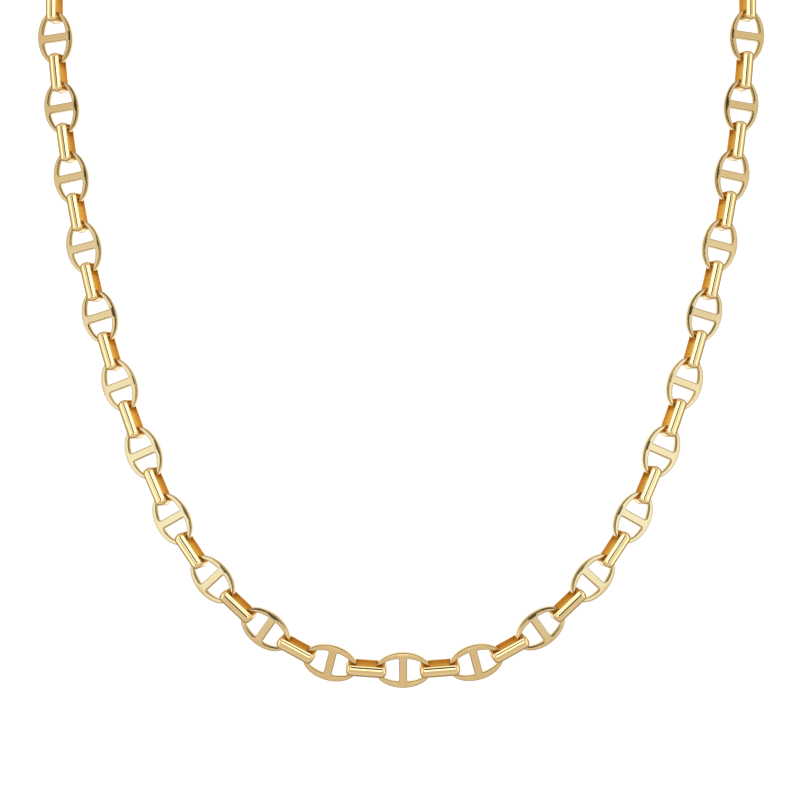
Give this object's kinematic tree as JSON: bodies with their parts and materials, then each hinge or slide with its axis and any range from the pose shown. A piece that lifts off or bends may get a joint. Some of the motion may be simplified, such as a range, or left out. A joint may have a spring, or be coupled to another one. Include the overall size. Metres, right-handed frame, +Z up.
{
  "type": "mariner link chain necklace",
  "caption": "Gold necklace of flat oval anchor links with a centre bar, joined by narrow domed connecting links, closed by a claw clasp.",
  "frame": {"origin": "on the neck's vertical axis inside the loop, level with the shoulders where the front of the loop ends, 32 mm behind and 108.6 mm above the middle of the bottom link", "axes": "+Z up the neck, -Y out of the chest towards the viewer, +X to the viewer's right; the front of the loop leans back 9 degrees from +Z"},
  "size_m": [0.1206, 0.0555, 0.1585],
  "materials": {
    "link_gold": "polished yellow gold plate on flat stamped faces",
    "connector_gold": "mirror polished yellow gold plate on domed band",
    "clasp_gold": "polished yellow gold plate"
  },
  "bodies": {
    "root": {"mariner_link_01": "link_gold", "mariner_link_02": "link_gold", "mariner_link_03": "link_gold", "mariner_link_04": "link_gold", "mariner_link_05": "link_gold", "mariner_link_06": "link_gold", "mariner_link_07": "link_gold", "mariner_link_08": "link_gold", "mariner_link_09": "link_gold", "mariner_link_10": "link_gold", "mariner_link_11": "link_gold", "mariner_link_12": "link_gold", "mariner_link_13": "link_gold", "mariner_link_14": "link_gold", "mariner_link_15": "link_gold", "mariner_link_16": "link_gold", "mariner_link_17": "link_gold", "mariner_link_18": "link_gold", "mariner_link_19": "link_gold", "mariner_link_20": "link_gold", "mariner_link_21": "link_gold", "mariner_link_22": "link_gold", "mariner_link_23": "link_gold", "mariner_link_24": "link_gold", "mariner_link_25": "link_gold", "mariner_link_26": "link_gold", "mariner_link_27": "link_gold", "mariner_link_28": "link_gold", "mariner_link_29": "link_gold", "mariner_link_30": "link_gold", "mariner_link_31": "link_gold", "mariner_link_32": "link_gold", "mariner_link_33": "link_gold", "mariner_link_34": "link_gold", "mariner_link_35": "link_gold", "mariner_link_36": "link_gold", "mariner_link_37": "link_gold", "connector_links": "connector_gold", "clasp": "clasp_gold"}
  },
  "joints": []
}
